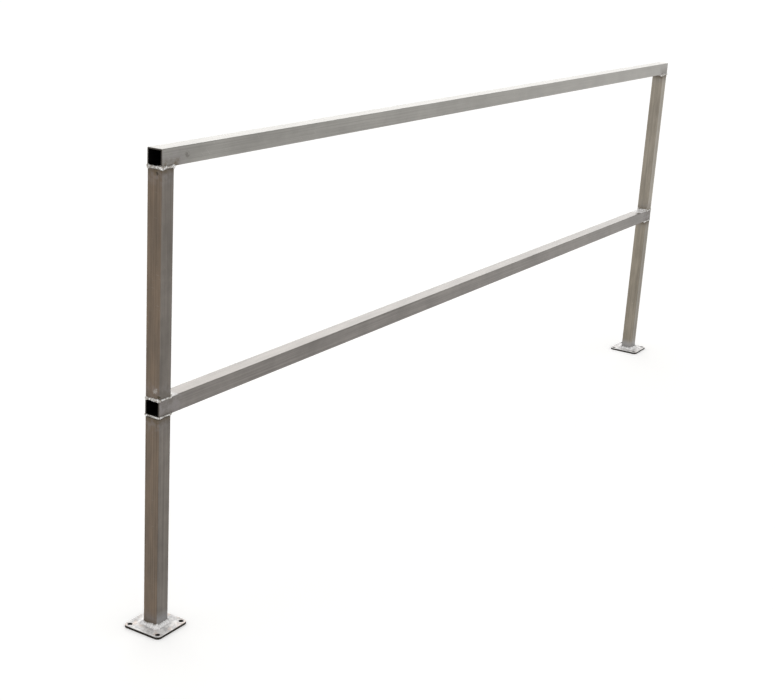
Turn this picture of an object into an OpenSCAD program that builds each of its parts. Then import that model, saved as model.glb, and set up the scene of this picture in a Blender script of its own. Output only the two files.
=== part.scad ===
// Safety handrail: one free-standing bay, welded from square tube on two bolt-down base plates.
// X runs along the rails, Y across them, Z up. The origin is on the floor, midway between the posts.

/* [Overall] */
// Length of both rails, over the outer faces of the posts
rail_len = 2743; // [600:1:3600]
// Height of the top rail's upper face above the floor
rail_top = 1067; // [800:1:1300]
// Height of the middle rail's upper face above the floor
mid_rail_top = 537; // [250:1:700]

/* [Square tube] */
// Width across the flats
tube_w = 38.1; // [30:0.1:50]
// Wall thickness
tube_wall = 3.2; // [2:0.1:5]
// Radius of the outside corners
tube_corner_r = 2.4; // [1.5:0.1:4]
// Radius of the corners of the bore
bore_corner_r = 0.8; // [0.4:0.1:2]

/* [Base plate] */
// Width of each side
plate_w = 101.6; // [100:0.1:200]
// Thickness
plate_t = 6.35; // [4:0.05:16]
// Radius of the four corners
plate_corner_r = 11; // [4:0.5:20]
// Diameter of the bolt holes
hole_d = 11; // [6:0.1:14]
// From a hole's centre to the two nearest edges of the plate
hole_edge = 11.1; // [8:0.1:14]

/* [Welds] */
// Width of a run along a flush seam
seam_w = 6; // [4:0.1:7]
// How far a run stands proud of a flush seam
seam_proud = 1.8; // [1:0.1:2.5]
// How deep a run fills the groove beside a tube's rounded corner
seam_root = 1.2; // [0.8:0.1:1.4]
// Leg of the run in the corner between a post and a rail
inner_leg = 4.5; // [3:0.1:6]
// Leg of the runs round the foot of a post
foot_leg = 7; // [4:0.1:8]
// How far the arc of a corner run is centred inside the metal, which sets how full it looks
arc_depth = 4; // [2:0.5:12]
// Rounding at the ends of a run, as a share of its radius
end_share = 0.8; // [0.5:0.05:0.95]

/* [Hidden] */
$fn = 64;

SIDES = ["left", "right"];
SEAMS = ["under_mid", "over_mid", "top"];
RUNS = ["front", "inner", "back", "outer"];

half_w = tube_w / 2;
post_x = rail_len / 2 - half_w;
mid_rail_foot = mid_rail_top - tube_w;
top_rail_foot = rail_top - tube_w;
hole_x = plate_w / 2 - hole_edge;

// Circle whose cap is seam_w wide and seam_proud high
seam_r = (pow(seam_w / 2, 2) + pow(seam_proud, 2)) / (2 * seam_proud);
seam_depth = seam_r - seam_proud;

// Far enough for a cutting shape to pass right through a weld
reach = tube_w;

tube_grey = [0.62, 0.60, 0.57];
plate_grey = [0.76, 0.75, 0.74];
weld_silver = [0.86, 0.86, 0.87];

// Radius of the arc that ends one leg away from the corner on both faces
function arc_r(leg) = sqrt(pow(leg + arc_depth, 2) + pow(arc_depth, 2));

function side_sign(side) = side == "left" ? -1 : 1;

// Quarter turns from the front of a post, towards the middle of the bay first
function run_angle(run) = 90 * search([run], RUNS)[0];

function seam_height(seam) =
    seam == "top" ? top_rail_foot :
    seam == "under_mid" ? mid_rail_foot : mid_rail_top;

// ---- tubes ----

module rounded_square(size, r) {
    square([size, size - 2 * r], center = true);
    square([size - 2 * r, size], center = true);
    for (x = [-1, 1], y = [-1, 1]) {
        translate([x, y] * (size / 2 - r)) circle(r);
    }
}

module tube(length) {
    linear_extrude(length) difference() {
        rounded_square(tube_w, tube_corner_r);
        rounded_square(tube_w - 2 * tube_wall, bore_corner_r);
    }
}

module rail(foot) {
    color(tube_grey) translate([-rail_len / 2, 0, foot + half_w]) rotate([0, 90, 0]) tube(rail_len);
}

module post(side, from, to) {
    color(tube_grey) translate([side_sign(side) * post_x, 0, from]) tube(to - from);
}

// ---- base plate ----

module base_plate(side) {
    color(plate_grey) translate([side_sign(side) * post_x, 0, 0]) difference() {
        linear_extrude(plate_t) rounded_square(plate_w, plate_corner_r);
        for (x = [-1, 1], y = [-1, 1]) {
            translate([x * hole_x, y * hole_x, -plate_t / 2]) cylinder(d = hole_d, h = 2 * plate_t);
        }
    }
}

// ---- welds ----

// A joint's own frame has its origin on the post's axis, with +X towards the middle of the bay
module at_joint(side, height) {
    translate([side_sign(side) * post_x, 0, height]) mirror([side == "left" ? 0 : 1, 0, 0]) children();
}

module fillet_profile(leg) {
    intersection() {
        square(leg);
        translate([-arc_depth, -arc_depth]) circle(arc_r(leg));
    }
}

// One side of the fillet round a foot, mitred at the post's corners
module foot_run() {
    flat = half_w - tube_corner_r;
    translate([-flat, -half_w, 0]) rotate([90, 0, 90]) linear_extrude(2 * flat)
        mirror([1, 0]) fillet_profile(foot_leg);
    translate([flat, -flat, 0]) rotate_extrude(angle = 45, start = -90)
        translate([tube_corner_r, 0]) fillet_profile(foot_leg);
    translate([-flat, -flat, 0]) rotate_extrude(angle = 45, start = -135)
        translate([tube_corner_r, 0]) fillet_profile(foot_leg);
}

module foot_weld(side, run) {
    color(weld_silver) at_joint(side, plate_t) rotate(run_angle(run)) foot_run();
}

// A bar with rounded ends that lies along X and reaches just past the post on both sides
module bead_bar(r) {
    length = tube_w + 2 * seam_proud;
    end_r = r * end_share;
    translate([-length / 2, 0, 0]) rotate([0, 90, 0]) rotate_extrude() {
        square([r - end_r, length]);
        translate([0, end_r]) square([r, length - 2 * end_r]);
        for (y = [end_r, length - end_r]) {
            translate([r - end_r, y]) intersection() {
                circle(end_r);
                translate([end_r - r, -end_r]) square([r, 2 * end_r]);
            }
        }
    }
}

// The share of a joint that belongs to its front run: the mitre planes pass through the post's axis
module front_sector(top) {
    translate([0, 0, -reach]) linear_extrude(reach + top)
        polygon([[0, 0], [-reach, -reach], [reach, -reach]]);
}

// What the weld lies on, in the frame of a joint whose rail is above it
module joint_metal() {
    translate([0, 0, -reach]) linear_extrude(reach) rounded_square(tube_w, tube_corner_r);
    translate([-half_w, 0, half_w]) rotate([0, 90, 0])
        linear_extrude(tube_w + reach) rounded_square(tube_w, tube_corner_r);
    cube([tube_w - 2 * seam_root, tube_w - 2 * seam_root, 2 * reach], center = true);
}

module seam_run(run) {
    fillet = run == "inner";
    depth = fillet ? arc_depth : seam_depth;
    difference() {
        rotate(run_angle(run)) intersection() {
            front_sector(seam_w / 2);
            translate([0, depth - half_w, fillet ? depth : 0]) bead_bar(fillet ? arc_r(inner_leg) : seam_r);
        }
        joint_metal();
    }
}

module seam_weld(side, seam, run) {
    color(weld_silver) at_joint(side, seam_height(seam))
        mirror([0, 0, seam == "over_mid" ? 1 : 0]) seam_run(run);
}

// ---- assembly ----

rail(top_rail_foot);  // top_rail
rail(mid_rail_foot);  // mid_rail

for (side = SIDES) {
    post(side, plate_t, mid_rail_foot);
    post(side, mid_rail_top, top_rail_foot);
    base_plate(side);
    for (run = RUNS) {
        foot_weld(side, run);
        for (seam = SEAMS) {
            seam_weld(side, seam, run);
        }
    }
}
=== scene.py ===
import math

import bmesh
import bpy
from mathutils import Matrix, Vector, noise


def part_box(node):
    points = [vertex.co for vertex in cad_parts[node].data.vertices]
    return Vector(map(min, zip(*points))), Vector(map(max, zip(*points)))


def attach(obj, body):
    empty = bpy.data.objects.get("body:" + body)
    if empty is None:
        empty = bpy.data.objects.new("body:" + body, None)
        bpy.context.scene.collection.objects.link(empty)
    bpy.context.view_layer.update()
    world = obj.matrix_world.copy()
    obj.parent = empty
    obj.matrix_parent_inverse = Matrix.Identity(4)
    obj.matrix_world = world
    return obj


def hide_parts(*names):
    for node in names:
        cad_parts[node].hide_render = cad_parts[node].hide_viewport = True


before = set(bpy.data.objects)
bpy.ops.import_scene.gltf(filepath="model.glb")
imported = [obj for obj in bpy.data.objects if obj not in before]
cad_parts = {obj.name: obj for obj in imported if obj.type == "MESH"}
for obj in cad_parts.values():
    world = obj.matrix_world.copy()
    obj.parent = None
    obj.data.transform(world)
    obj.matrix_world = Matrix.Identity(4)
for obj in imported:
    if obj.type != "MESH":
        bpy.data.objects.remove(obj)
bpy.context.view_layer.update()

print("frame:", len(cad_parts), "CAD nodes")

sides = {"left": -1, "right": 1}
seams = ("under_mid", "over_mid", "top")
runs = ("front", "back", "outer", "inner")


# ---------- where things are, from the CAD boxes ----------

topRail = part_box("top_rail")
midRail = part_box("mid_rail")
tubeWidth = topRail[1].z - topRail[0].z
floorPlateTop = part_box("left_base_plate")[1].z
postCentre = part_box("right_upper_post")[1].x - tubeWidth / 2
seamHeights = {"foot": floorPlateTop, "under_mid": midRail[0].z, "over_mid": midRail[1].z, "top": topRail[0].z}


# ---------- camera ----------

camera = {
    "place": (-3.5296, -1.8472, 1.5654),
    "heading": 59.28,  # degrees from +Y towards +X
    "dip": 17.593,  # degrees below the horizon
    "roll": 3.586,
    "lens": 66.04,
    "sensor": 36.0,
}


def addCamera():
    data = bpy.data.cameras.new("camera")
    data.lens = camera["lens"]
    data.sensor_width = camera["sensor"]
    body = bpy.data.objects.new("camera", data)
    turn = Matrix.Rotation(-math.radians(camera["heading"]), 4, "Z")
    turn = turn @ Matrix.Rotation(math.radians(90 - camera["dip"]), 4, "X")
    turn = turn @ Matrix.Rotation(math.radians(camera["roll"]), 4, "Z")
    body.matrix_world = Matrix.Translation(camera["place"]) @ turn
    bpy.context.scene.collection.objects.link(body)
    bpy.context.scene.camera = body


# ---------- shader maths as expressions ----------

# a node's output; sums and products of these add Math nodes
class Field:
    def __init__(self, finish, socket):
        self.finish = finish
        self.socket = socket

    def maths(self, operation, *others, clamp=False):
        values = {0: self}
        values.update({i + 1: other for i, other in enumerate(others)})
        return self.finish.node("ShaderNodeMath", {"operation": operation, "use_clamp": clamp}, values)

    def __add__(self, other):
        return self.maths("ADD", other)

    __radd__ = __add__

    def __sub__(self, other):
        return self.maths("SUBTRACT", other)

    def __rsub__(self, other):
        return (self * -1) + other

    def __mul__(self, other):
        return self.maths("MULTIPLY", other)

    __rmul__ = __mul__

    def __truediv__(self, other):
        return self.maths("DIVIDE", other)

    def __pow__(self, other):
        return self.maths("POWER", other)

    def __abs__(self):
        return self.maths("ABSOLUTE")

    def atLeast(self, other):
        return self.maths("MAXIMUM", other)

    def atMost(self, other):
        return self.maths("MINIMUM", other)

    # 0 at low, 1 at high, eased at both ends; low may be the larger
    def ease(self, low, high):
        share = ((self - low) / (high - low)).maths("MULTIPLY", 1, clamp=True)
        return share * share * (3 - 2 * share)


# one material and its node tree
class Finish:
    def __init__(self, name, world=None):
        self.owner = world or bpy.data.materials.new(name)
        self.owner.use_nodes = True
        self.tree = self.owner.node_tree
        self.tree.nodes.clear()

    # settings are set before values, because they can change the sockets
    def node(self, kind, settings=None, values=None, output=0):
        made = self.tree.nodes.new(kind)
        for key, value in (settings or {}).items():
            if key == "stops":
                self.setStops(made.color_ramp, value)
            else:
                setattr(made, key, value)
        for key, value in (values or {}).items():
            if isinstance(value, Field):
                self.tree.links.new(value.socket, made.inputs[key])
            else:
                made.inputs[key].default_value = value
        return None if output is None else Field(self, made.outputs[output])

    def setStops(self, ramp, stops):
        while len(ramp.elements) < len(stops):
            ramp.elements.new(0.5)
        for element, (place, colour) in zip(ramp.elements, stops):
            element.position = place
            element.color = (*colour, 1)

    def place(self):
        return self.node("ShaderNodeTexCoord", output="Object")

    def axes(self, place):
        return [self.node("ShaderNodeSeparateXYZ", None, {0: place}, output=i) for i in range(3)]

    # noise from 0 to 1 with its own scale along each axis
    def grain(self, place, scale, detail=3, roughness=0.55, shift=0.0):
        moved = self.node("ShaderNodeMapping", None,
                          {"Vector": place, "Scale": scale, "Location": (shift, shift * 1.7, shift * 2.3)})
        return self.node("ShaderNodeTexNoise", None,
                         {"Vector": moved, "Scale": 1.0, "Detail": detail, "Roughness": roughness})

    def mix(self, share, a, b, blend="MIX"):
        return self.node("ShaderNodeMix", {"data_type": "RGBA", "blend_type": blend},
                         {0: share, 6: colour4(a), 7: colour4(b)}, output=2)

    # 1 within reach of a spot, with an edge as ragged as the noise
    def near(self, place, spot, reach, ragged):
        gap = self.node("ShaderNodeVectorMath", {"operation": "DISTANCE"}, {0: place, 1: spot}, output="Value")
        return (gap + (ragged - 0.5) * reach * 5).ease(reach * 1.5, reach * 0.5)

    # hollow is a mask: where it is 1, a flat painted shade colour is seen and nothing glints
    def surface(self, values, hollow=None, paintedShadeColour=None):
        shader = self.node("ShaderNodeBsdfPrincipled", None, values)
        if hollow is not None:
            dark = self.node("ShaderNodeBsdfPrincipled", None,
                             {"Base Color": paintedShadeColour, "Roughness": 1.0, "Specular IOR Level": 0.0})
            shader = self.node("ShaderNodeMixShader", None, {0: hollow, 1: shader, 2: dark})
        self.node("ShaderNodeOutputMaterial", None, {"Surface": shader}, output=None)
        return self.owner


def colour4(value):
    return value if isinstance(value, Field) or len(value) == 4 else (*value, 1.0)


# ---------- shared marks: the welds' heat, soot and handling ----------

# distance from the nearest seam of a joint, measured up and down the post
def seamDistance(z, seamNames):
    nearest = None
    for name in seamNames:
        gap = abs(z - seamHeights[name])
        nearest = gap if nearest is None else nearest.atMost(gap)
    return nearest


# ---------- tube: mill aluminium, drawn lengthwise ----------

tube = {
    "tones": {
        "top_rail": (0.262, 0.254, 0.238),
        "mid_rail": (0.196, 0.182, 0.170),
        "left_post": (0.156, 0.140, 0.125),
        "right_post": (0.262, 0.235, 0.196),
    },
    "paintedFarLight": {"top_rail": 0.26, "mid_rail": 0.02},  # painted light: how much lighter a rail gets towards its right end, where more light falls
    "outerTarnishAndShade": (0.95, 0.81, 0.68),  # multiplied over the posts' outer faces: a brown tarnish, and partly painted shade for the less light these faces get
    "contrast": {"top_rail": 0.18, "mid_rail": 0.24, "left_post": 0.32, "right_post": 0.28},
    "heated": (0.090, 0.064, 0.034),  # straw to brown oxide beside the welds
    "soot": (0.030, 0.024, 0.018),
    "stain": (0.110, 0.082, 0.036),  # olive spatter residue
    "bloom": (0.270, 0.250, 0.255),  # pale grey haze next to the joints
    "frost": (0.400, 0.405, 0.420),  # bluish haze over the foot welds
    "brushed": (0.860, 0.850, 0.850),
    "lowerRightShade": ((0.93, 0.92, 0.90), (0.76, 0.75, 0.73)),  # painted shade darkens the lower right post: its sides, its faces
    # painted shade: the bore's walls are near black, standing in for the shade inside the hollow
    "inside": (0.0015, 0.0014, 0.0012),
    "insideStreak": (0.012, 0.011, 0.010),
    "cutEnd": (0.045, 0.038, 0.030),
    "roughness": 0.33,
    "lineDepth": 0.00005,
    "heatReach": 0.019,
    "sootReach": 0.0040,
}

# where the near end has been knocked or smudged: place, reach, colour, strength
marks = {
    "smudge_on_top_rail": ((-1.294, -0.019, 1.048), 0.0050, (0.13, 0.12, 0.11), 0.7),
    "spatter_under_top_weld": ((-1.3716, -0.008, 1.017), 0.0028, (0.04, 0.03, 0.02), 0.9),
    "scuff_over_middle_rail": ((-1.3716, -0.008, 0.556), 0.0042, (0.40, 0.38, 0.36), 0.6),
    "spatter_over_middle_rail": ((-1.3710, -0.018, 0.544), 0.0030, (0.05, 0.04, 0.02), 0.9),
}


# along is the tube's own axis: 0 for the rails, 2 for the posts
def tubeFinish(name, tone, along, seamNames, railFoot=None):
    finish = Finish(name)
    place = finish.place()
    x, y, z = finish.axes(place)
    stretch = [1.0, 1.0, 1.0]
    stretch[along] = 0.005
    base = tube["tones"][tone]

    # fine die lines, broader bands and slow blotches
    lines = finish.grain(place, tuple(1500 * s for s in stretch), 2, 0.6, 3.1)
    bands = finish.grain(place, tuple(300 * s for s in stretch), 3, 0.6, 7.7)
    blotches = finish.grain(place, (9, 40, 9), 5, 0.65, 1.9)
    mottle = finish.grain(place, (95, 95, 95), 4, 0.6, 2.6)
    speckle = finish.grain(place, (420, 420, 420), 2, 0.5, 5.3)
    shade = (lines * 0.3 + bands * 0.35 + blotches * 0.35).ease(0.34, 0.66)
    swing = tube["contrast"][tone]
    colour = finish.mix(shade, tuple(c * (1 - swing) for c in base), tuple(c * (1 + swing) for c in base))
    if railFoot is not None:
        # painted light: each rail's colour is lifted towards its right end
        colour = finish.mix(x.ease(-postCentre, postCentre) * tube["paintedFarLight"][tone], colour, (0.5, 0.48, 0.45))
    else:
        # the posts' outer faces: brown tarnish, partly painted shade
        outer = abs(x).ease(topRail[1].x - 0.0012, topRail[1].x - 0.0004)
        tarnishAndShadeShare = outer * (blotches * 0.8 + 0.5).atMost(1.0) * (0.5 if tone == "right_post" else 1.0)
        colour = finish.mix(tarnishAndShadeShare, colour, tube["outerTarnishAndShade"], "MULTIPLY")
        # painted shade: the lower right post is darker, most on its front and back faces
        if tone == "right_post":
            lower = z.ease(seamHeights["under_mid"] + 0.001, seamHeights["under_mid"] - 0.001)
            flat = abs(y).ease(tubeWidth / 2 - 0.0012, tubeWidth / 2 - 0.0004)
            paintedShade = finish.mix(flat, tube["lowerRightShade"][0], tube["lowerRightShade"][1])
            colour = finish.mix(lower, colour, finish.mix(1.0, colour, paintedShade, "MULTIPLY"))

    # thin bright scratches that cross the draw lines
    turned = finish.node("ShaderNodeVectorRotate", {"rotation_type": "EULER_XYZ"},
                         {"Vector": place, "Rotation": (0.5, 0.7, 0.4)})
    scratches = finish.grain(turned, (900, 60, 18), 2, 0.5, 9.1).ease(0.69, 0.75)
    colour = finish.mix(scratches * 0.4, colour, tuple(c * 1.7 for c in base))

    # beside each joint: a pale bloom, then heat tint, then a thin line of soot
    towards = abs(x) - postCentre
    gap = seamDistance(z, seamNames).atLeast(abs(towards) - tubeWidth / 2)
    onRail = railFoot is not None
    bloom = gap.ease(0.050, 0.010) * mottle.ease(0.40, 0.60)
    colour = finish.mix(bloom * (0.50 if onRail else 0.26), colour, tube["bloom"])
    # the upper posts stayed cooler just over the middle rail
    overMid = z - seamHeights["over_mid"]
    cool = 1 - overMid.ease(-0.001, 0.001) * overMid.ease(0.060, 0.040) * 0.75
    heat = (gap + mottle * 0.010).ease(tube["heatReach"] + 0.006, 0.008) * cool
    colour = finish.mix(heat * (0.20 if onRail else 0.70) * speckle.ease(0.1, 0.45), colour, tube["heated"])
    if not onRail:
        frosted = (z - floorPlateTop + mottle * 0.02).ease(0.050, 0.022)
        colour = finish.mix(frosted * (0.55 - outer * 0.45), colour, tube["frost"])
    soot = (gap + mottle * 0.003).ease(tube["sootReach"] + 0.0028, tube["sootReach"] + 0.0008)
    colour = finish.mix(soot * cool * (0.45 if onRail else 0.85) * speckle.ease(0.2, 0.5), colour, tube["soot"])
    if tone == "top_rail":
        stain = gap.ease(0.022, 0.006) * mottle.ease(0.42, 0.55) * x.ease(0.2, -0.2)
        colour = finish.mix(stain * speckle.ease(0.3, 0.55) * 0.75, colour, tube["stain"])
    ragged = finish.grain(place, (230, 230, 230), 3, 0.6, 6.6)
    for spot, reach, tint, strength in marks.values():
        colour = finish.mix(finish.near(place, spot, reach, ragged) * strength, colour, tint)

    joint = gap.ease(0.034, 0.010)
    matt = 0
    if tone == "mid_rail":
        # the rail's top is brushed bright beside the fillets
        farther = x.ease(-0.2, 0.2) * 0.036
        brushed = overMid.ease(-0.0012, -0.0004) * (gap - farther + mottle * 0.006).ease(0.034, 0.012)
        colour = finish.mix(brushed * 0.85, colour, tube["brushed"])
        joint = joint.atLeast(brushed)
        matt = brushed * 0.45
    roughness = bands * 0.14 + speckle * 0.06 + tube["roughness"] - 0.10 + joint * 0.16 + soot * 0.20
    metal = 1 - soot * 0.5 - joint * 0.35 - matt
    bore, paintedBoreShade = None, None
    if railFoot is not None:
        # the bore, painted near black as painted shade, and the sawn ends
        half = tubeWidth / 2 - 0.0032 + 0.0004
        reach = abs(y).atLeast(abs(z - (railFoot + tubeWidth / 2)))
        bore = reach.ease(half + 0.0001, half - 0.0001)
        paintedBoreShade = finish.mix(bands.ease(0.35, 0.7) * speckle, tube["inside"], tube["insideStreak"])
        ends = abs(x).ease(topRail[1].x - 0.0004, topRail[1].x - 0.0002)
        colour = finish.mix(ends * 0.85, colour, tube["cutEnd"])
        roughness = roughness + ends * 0.2
    height = lines * 0.5 + bands * 0.3 + speckle * 0.2 - scratches * 0.6
    bump = finish.node("ShaderNodeBump", None, {"Strength": 0.35, "Distance": tube["lineDepth"], "Height": height})
    return finish.surface({"Base Color": colour, "Metallic": metal, "Roughness": roughness.atMost(0.95),
                           "Normal": bump}, bore, paintedBoreShade)


railFinish = {
    "top_rail": tubeFinish("drawn_rail_top", "top_rail", 0, ["top"], topRail[0].z),
    "mid_rail": tubeFinish("drawn_rail_mid", "mid_rail", 0, ["under_mid", "over_mid"], midRail[0].z),
}
postFinish = {side: tubeFinish(f"drawn_post_{side}", f"{side}_post", 2, ["foot", "under_mid", "over_mid", "top"])
              for side in sides}


def dress(thing, material):
    for i in range(max(1, len(thing.data.materials))):
        if i < len(thing.data.materials):
            thing.data.materials[i] = material
        else:
            thing.data.materials.append(material)


for node, material in railFinish.items():
    dress(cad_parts[node], material)
for side in sides:
    for level in ("lower", "upper"):
        dress(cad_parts[f"{side}_{level}_post"], postFinish[side])
print("tubes: drawn aluminium on rails and posts")


# ---------- base plates: sheared plate with worn, rounded edges ----------

plate = {
    "face": (0.93, 0.92, 0.91),
    "cloud": (0.56, 0.555, 0.56),
    "tint": (0.78, 0.64, 0.55),  # pale brown where the heat went through
    # the plate's sides and hole walls: dark cut-edge oxide, partly painted shade
    "side": (0.022, 0.017, 0.011),
    "holeWall": (0.02, 0.018, 0.016),
    "edgeRound": 0.0009,
    "roughness": 0.56,
}


def plateFinish():
    finish = Finish("base_plate")
    place = finish.place()
    x, y, z = finish.axes(place)
    clouds = finish.grain(place, (85, 85, 85), 5, 0.7, 2.2)
    grit = finish.grain(place, (900, 900, 900), 3, 0.6, 6.1)
    sweep = finish.grain(place, (60, 900, 900), 2, 0.5, 8.8)
    colour = finish.mix(clouds.ease(0.38, 0.62), plate["cloud"], plate["face"])
    colour = finish.mix(grit.ease(0.3, 0.7) * 0.3, colour, plate["face"])
    tint = finish.grain(place, (45, 45, 45), 3, 0.6, 11.0).ease(0.5, 0.66)
    colour = finish.mix(tint * 0.5, colour, plate["tint"])
    # the soot ring outside the foot welds
    across = abs(abs(x) - postCentre).atLeast(abs(y))
    ring = across.ease(tubeWidth / 2 + 0.0110, tubeWidth / 2 + 0.0080) * clouds.ease(0.44, 0.6)
    colour = finish.mix(ring * 0.35, colour, plate["cloud"])
    # the sides and hole walls below the top: dark cut-edge oxide, partly painted shade
    low = z.ease(floorPlateTop - 0.0002, floorPlateTop - 0.0010)
    colour = finish.mix(low, colour, plate["side"])
    roughness = clouds * 0.2 + grit * 0.1 + plate["roughness"] - 0.1 + low * 0.2
    height = grit * 0.6 + sweep * 0.4
    bump = finish.node("ShaderNodeBump", None, {"Strength": 0.4, "Distance": 0.00012, "Height": height})
    return finish.surface({"Base Color": colour, "Metallic": 0.55, "Roughness": roughness, "Normal": bump})


# a bmesh with the merged shape of a CAD node
def mergedCopy(node):
    mesh = bmesh.new()
    mesh.from_mesh(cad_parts[node].data)
    bmesh.ops.remove_doubles(mesh, verts=mesh.verts, dist=0.00001)
    bmesh.ops.dissolve_limit(mesh, angle_limit=math.radians(0.5), verts=mesh.verts, edges=mesh.edges)
    return mesh


def sharpEdges(mesh, degrees):
    return [e for e in mesh.edges if len(e.link_faces) == 2 and e.calc_face_angle() > math.radians(degrees)]


def makePiece(name, mesh, material, nodes, smooth=35):
    bmesh.ops.recalc_face_normals(mesh, faces=mesh.faces)
    data = bpy.data.meshes.new(name)
    for face in mesh.faces:
        face.smooth = True
    for edge in mesh.edges:
        edge.smooth = len(edge.link_faces) != 2 or edge.calc_face_angle() < math.radians(smooth)
    mesh.to_mesh(data)
    mesh.free()
    thing = bpy.data.objects.new(name, data)
    bpy.context.scene.collection.objects.link(thing)
    data.materials.append(material)
    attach(thing, "root")
    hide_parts(*nodes)
    return thing


plateMaterial = plateFinish()
for side in sides:
    node = f"{side}_base_plate"
    mesh = mergedCopy(node)
    bmesh.ops.bevel(mesh, geom=sharpEdges(mesh, 60), offset=plate["edgeRound"], segments=3, profile=0.5,
                    affect="EDGES", material=-1)
    makePiece(f"{side}_plate", mesh, plateMaterial, [node])
print("plates: edges and hole rims rounded")


# ---------- welds: overlapping ripples, a lump at each start and stop ----------

weld = {
    # half the width along a flush seam, how far it stands out, and how big its start and stop are
    "sizes": {
        "top": (0.0030, 0.0021, 0.60),
        "over_mid": (0.0019, 0.0016, 0.30),
        "under_mid": (0.0019, 0.0016, 0.35),
        "foot": (0.0076, 0.0060, 0.60),
    },
    "inner": (0.0066, 0.0050),  # across the corner, and out of it
    "capWidth": 0.0031,  # the middle rail's end run, which covers the sawn wall
    "pitch": 0.0036,
    "footPitch": 0.0062,
    "ripple": 0.26,
    "wander": 0.0007,
    "uneven": 0.34,
    "lumpReach": 0.0034,
    "sunk": 0.0013,
    "rings": 84,
    "round": 18,
    "metal": (0.88, 0.88, 0.88),
    # painted shade for the ripples' creases, also used for scattered dark specks
    "creaseShadeAndSpecks": (0.09, 0.080, 0.066),
    "warm": (0.36, 0.33, 0.29),
    "footWarm": (0.80, 0.79, 0.79),
    "roughness": 0.34,
}


def weldFinish():
    finish = Finish("weld_bead")
    place = finish.place()
    x, y, z = finish.axes(place)
    mottle = finish.grain(place, (240, 240, 240), 3, 0.6, 1.3)
    fine = finish.grain(place, (800, 800, 800), 2, 0.5, 2.9)
    crease = finish.node("ShaderNodeAttribute", {"attribute_name": "crease"}, output=2)
    # small creases go dark with painted shade; the broad foot runs stay bright
    upper = z.ease(floorPlateTop + 0.010, floorPlateTop + 0.016)
    small = upper * 0.75 + 0.25
    colour = finish.mix(mottle.ease(0.42, 0.58), finish.mix(upper, weld["footWarm"], weld["warm"]), weld["metal"])
    # painted shade in the creases between the ripples
    colour = finish.mix(crease.ease(0.30, 0.90) * small, colour, weld["creaseShadeAndSpecks"])
    colour = finish.mix(fine.ease(0.58, 0.70) * small * 0.8, colour, weld["creaseShadeAndSpecks"])
    roughness = mottle * 0.2 + weld["roughness"] - 0.06 + crease * 0.2
    bump = finish.node("ShaderNodeBump", None, {"Strength": 0.5, "Distance": 0.00012, "Height": mottle + fine * 0.4})
    return finish.surface({"Base Color": colour, "Metallic": 0.75, "Roughness": roughness, "Normal": bump})


# a ball whose faces are laid again in a fixed order, because the operator's own order changes each run
def orderedBall(around, rings):
    loose = bmesh.new()
    bmesh.ops.create_uvsphere(loose, u_segments=around, v_segments=rings, radius=1.0)
    verts = sorted(loose.verts, key=lambda vert: tuple(round(c, 5) for c in vert.co))
    rank = {vert: i for i, vert in enumerate(verts)}
    loops = []
    for face in loose.faces:
        ranks = [rank[vert] for vert in face.verts]
        first = ranks.index(min(ranks))
        loops.append(ranks[first:] + ranks[:first])
    mesh = bmesh.new()
    laid = [mesh.verts.new(vert.co) for vert in verts]
    for loop in sorted(loops):
        mesh.faces.new([laid[i] for i in loop])
    loose.free()
    return mesh


# one run along X about the origin: Y points towards the first face's outside, Z towards the second's
def beadShape(length, reach, endLump, pitch, tilt, flats, seed, depth):
    mesh = orderedBall(weld["round"], weld["rings"])
    crease = mesh.verts.layers.float.new("crease")
    turn = Matrix.Rotation(tilt, 3, "X")
    for vert in mesh.verts:
        polar = math.acos(max(-1.0, min(1.0, vert.co.z)))
        share = polar / math.pi
        around = Vector((0, vert.co.x, vert.co.y))
        if around.length > 1e-6:
            around.normalize()
        along = (share - 0.5) * length
        endGap = length / 2 - abs(along)
        endRound = math.sqrt(max(0.0, 1 - (1 - min(1.0, endGap / (reach[0] * 0.9))) ** 2))
        # each ripple is a crescent: its middle lags behind its edges
        lag = 0.35 * around.y ** 2
        drift = noise.noise(Vector((along * 180, seed, 0.3))) * 0.6
        phase = (along / pitch + lag + drift + seed) % 1.0
        ridge = math.sin(math.pi * phase) ** 0.7
        uneven = noise.noise(Vector((along * 150, seed * 2.1, 4.7)))
        lump = endLump * math.exp(-((endGap - 0.0035) / weld["lumpReach"]) ** 2)
        swell = endRound * (1 + weld["ripple"] * depth * (ridge - 0.5) + weld["uneven"] * uneven + lump)
        side = weld["wander"] * noise.noise(Vector((along * 120, seed * 3.3, 9.1)))
        vert[crease] = (1 - ridge) * min(1.0, endRound * 1.2) * depth
        spot = Vector((0, around.y * reach[0], around.z * reach[1])) * swell + Vector((0, side, 0))
        vert.co = Vector((along, 0, 0)) + turn @ spot
    # the hidden side is trimmed flat inside the metal
    for normal in flats:
        cut = bmesh.ops.bisect_plane(mesh, geom=mesh.verts[:] + mesh.edges[:] + mesh.faces[:], dist=1e-7,
                                     plane_co=Vector(normal) * -weld["sunk"], plane_no=Vector(normal) * -1,
                                     clear_outer=True)
        rim = [e for e in cut["geom_cut"] if isinstance(e, bmesh.types.BMEdge)]
        bmesh.ops.holes_fill(mesh, edges=rim, sides=0)
    return mesh


upward = Vector((0, 0, 1))
weldMaterial = weldFinish()


# the way a run's side of the post faces
def facing(side, run):
    away = {"front": (0, -1, 0), "back": (0, 1, 0), "outer": (sides[side], 0, 0), "inner": (-sides[side], 0, 0)}
    return Vector(away[run])


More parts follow.
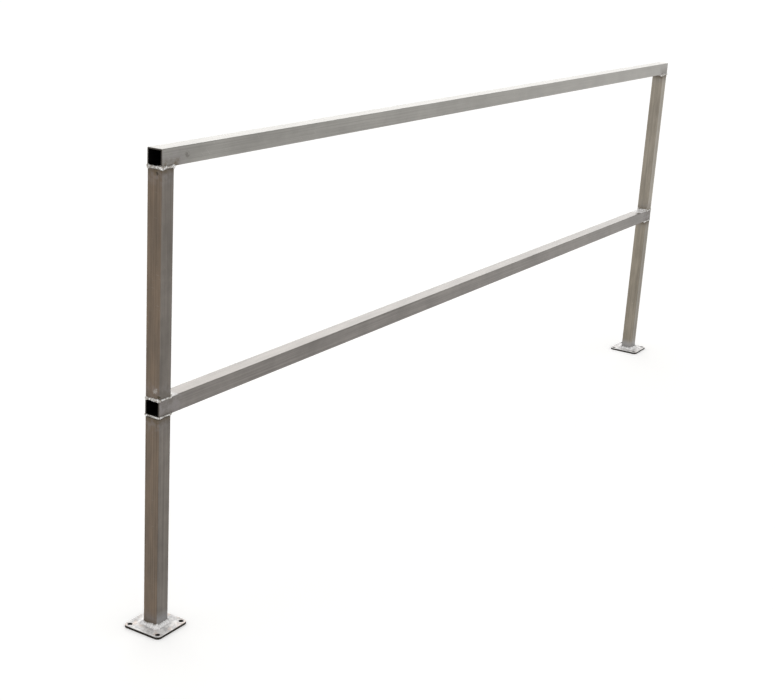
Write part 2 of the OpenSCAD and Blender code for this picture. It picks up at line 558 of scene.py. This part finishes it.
def placeBead(side, seam, run, seed):
    out = facing(side, run)
    half, proud, endLump = weld["sizes"][seam]
    corner = seam == "foot" or run == "inner"
    pitch = weld["pitch"]
    length, reach = tubeWidth + 0.0022, (half, proud)
    if seam == "foot":
        length, pitch = tubeWidth + 1.5 * half, weld["footPitch"]
    elif run == "inner":
        length, reach = tubeWidth + 0.0012, weld["inner"]
    elif run == "outer" and seam == "over_mid":
        reach = (weld["capWidth"], proud)
    tilt = math.radians(-45) if corner else 0.0
    flats = [(0, 0, 1), (0, 1, 0)] if corner else [(0, 0, 1)]
    # the inner runs are filled smoother, and the cap over the sawn wall is flatter
    depth = 0.55 if run == "inner" and seam != "foot" else 1.0
    mesh = beadShape(length, reach, endLump, pitch, tilt, flats, seed, depth)
    # the second side of a corner is the plate under a foot, or the rail over or under a post
    across = upward if seam in ("foot", "over_mid") else upward * -1
    turn = Matrix((across.cross(out), across, out)).transposed()
    centre = Vector((sides[side] * postCentre, 0, seamHeights[seam])) + out * tubeWidth / 2
    bmesh.ops.transform(mesh, matrix=Matrix.Translation(centre) @ turn.to_4x4(), verts=mesh.verts)
    makePiece(f"{side}_{seam}_bead_{run}", mesh, weldMaterial, [f"{side}_{seam}_weld_{run}"], 70)


seed = 0
for side in sides:
    for seam in ("foot",) + seams:
        for run in runs:
            seed += 1
            placeBead(side, seam, run, seed * 1.37)
print("welds:", seed, "rippled runs")


# ---------- floor, light and camera ----------

studio = {
    "floorHalf": 300.0,
    "floor": (0.90, 0.90, 0.895),
    "floorLift": 0.26,
    "around": 1.0,
    "zenith": 0.75,
    "window": 3.4,  # a long soft window low behind the far end
    "windowWay": (0.71, 0.70, 0.0),
    "windowFrom": (0.05, 0.34),  # sines of elevation: where it starts, and where it is full
    "windowTo": (0.62, 0.42),
}


def addFloor():
    mesh = bmesh.new()
    bmesh.ops.create_grid(mesh, x_segments=1, y_segments=1, size=studio["floorHalf"])
    data = bpy.data.meshes.new("floor")
    mesh.to_mesh(data)
    mesh.free()
    floor = bpy.data.objects.new("floor", data)
    bpy.context.scene.collection.objects.link(floor)
    finish = Finish("floor")
    place = finish.place()
    mottle = finish.grain(place, (3, 3, 3), 3, 0.5, 0.4)
    paths = [finish.node("ShaderNodeLightPath", output=o) for o in
             ("Is Camera Ray", "Is Glossy Ray", "Is Transmission Ray")]
    seen = (paths[0] + paths[1] + paths[2]).atMost(1.0)
    colour = finish.mix(mottle.ease(0.3, 0.7) * 0.2, studio["floor"], (0.86, 0.86, 0.86))
    data.materials.append(finish.surface({
        "Base Color": colour, "Roughness": 0.9, "Specular IOR Level": 0.0,
        "Emission Color": finish.mix(seen, (0, 0, 0), (1, 1, 1)), "Emission Strength": studio["floorLift"]}))


def addLight():
    world = bpy.data.worlds.new("studio")
    bpy.context.scene.world = world
    finish = Finish("studio", world)
    way = finish.node("ShaderNodeTexCoord", output="Generated")
    height = finish.axes(way)[2]
    flat = finish.node("ShaderNodeVectorMath", {"operation": "DOT_PRODUCT"},
                       {0: way, 1: studio["windowWay"]}, output="Value")
    window = flat.ease(0.62, 0.97) * height.ease(*studio["windowFrom"]) * height.ease(*studio["windowTo"])
    level = height.ease(0.2, 0.7) * (studio["zenith"] - studio["around"]) + studio["around"]
    level = level + window * (studio["window"] - studio["around"])
    light = finish.node("ShaderNodeBackground", None, {"Color": (1.0, 0.995, 0.985, 1.0), "Strength": level})
    finish.node("ShaderNodeOutputWorld", None, {"Surface": light}, output=None)


addFloor()
addLight()
addCamera()
bpy.context.scene.view_settings.view_transform = "Standard"
print("studio: floor, light and camera")
